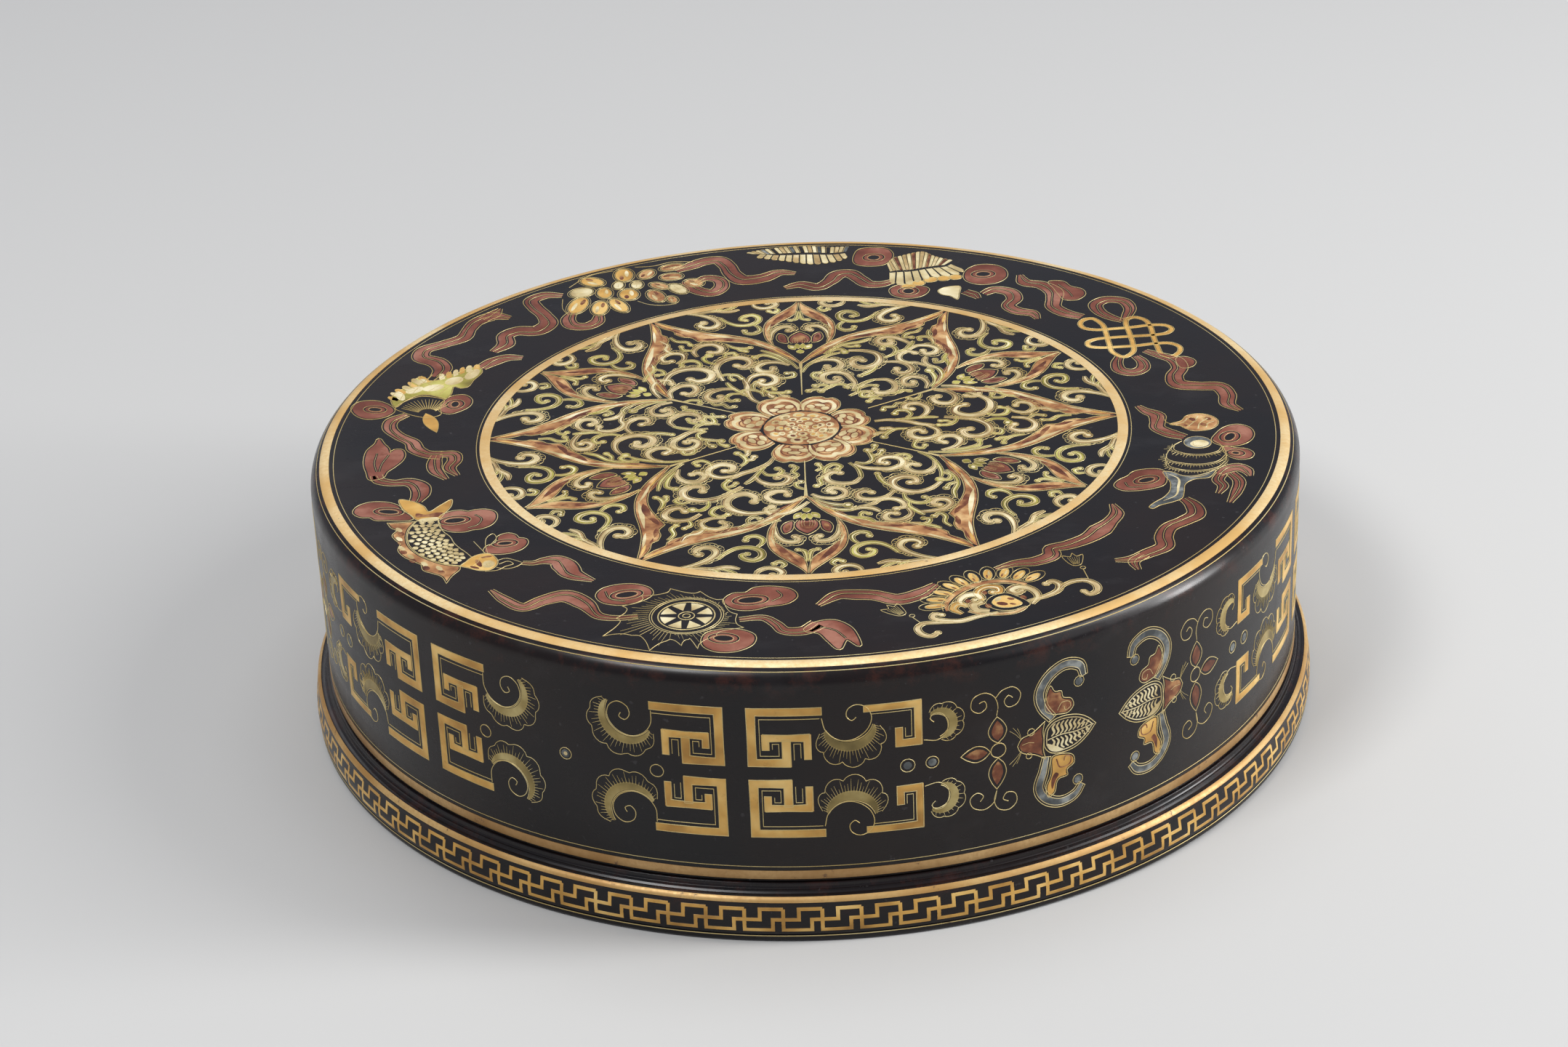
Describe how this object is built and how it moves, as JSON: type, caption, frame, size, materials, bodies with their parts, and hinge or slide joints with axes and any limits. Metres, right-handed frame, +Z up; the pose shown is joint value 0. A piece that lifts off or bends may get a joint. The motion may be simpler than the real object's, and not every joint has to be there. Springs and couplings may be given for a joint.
{
  "type": "lacquered storage box",
  "caption": "Low round lacquered storage box whose tall lid slides down over an inner collar onto a moulded plinth.",
  "frame": {"origin": "centre of the circle on which the foot stands, at floor level", "axes": "+Z up through the middle of the lid; the front of the decoration faces -Y"},
  "size_m": [0.32, 0.32, 0.086],
  "materials": {
    "black_lacquer": "near-black brown lacquer, satin gloss, fine brush streaks and light wear",
    "lining_lacquer": "plain dark lacquer, satin",
    "gold_lacquer": "ochre gold lacquer, mottled from pale yellow to orange",
    "gold_line": "incised lines filled with pale gold",
    "red_lacquer": "dusty brick-red filled-in lacquer",
    "olive_lacquer": "olive-yellow filled-in lacquer",
    "cream_lacquer": "cream filled-in lacquer",
    "copper_lacquer": "copper-tan filled-in lacquer",
    "blue_grey_lacquer": "blue-grey filled-in lacquer",
    "softwood": "plain softwood core, straight grain"
  },
  "bodies": {
    "base": {"base_coat": "black_lacquer", "base_bead_gold_band": "gold_lacquer", "base_lining": "lining_lacquer", "base_underside_coat": "black_lacquer", "base_plinth_ring": "softwood", "base_foot_ring": "black_lacquer", "base_collar_strip_outer": "softwood", "base_collar_strip_inner": "softwood", "base_board_1": "softwood", "base_board_2": "softwood", "base_board_3": "softwood", "base_board_4": "softwood"},
    "lid": {"lid_coat": "black_lacquer", "lid_top_gold_band": "gold_lacquer", "lid_roundel_gold_band": "gold_lacquer", "lid_rim_gold_band": "gold_lacquer", "lid_lining": "lining_lacquer", "lid_shoulder_strip": "softwood", "lid_wall_strip_outer": "softwood", "lid_wall_strip_inner": "softwood", "lid_board_1": "softwood", "lid_board_2": "softwood", "lid_board_3": "softwood", "lid_board_4": "softwood"}
  },
  "joints": [
    {"name": "lid_lift", "type": "slide", "parent": "base", "child": "lid", "axis": [0, 0, 1], "range_m": [0, 0.12]}
  ]
}
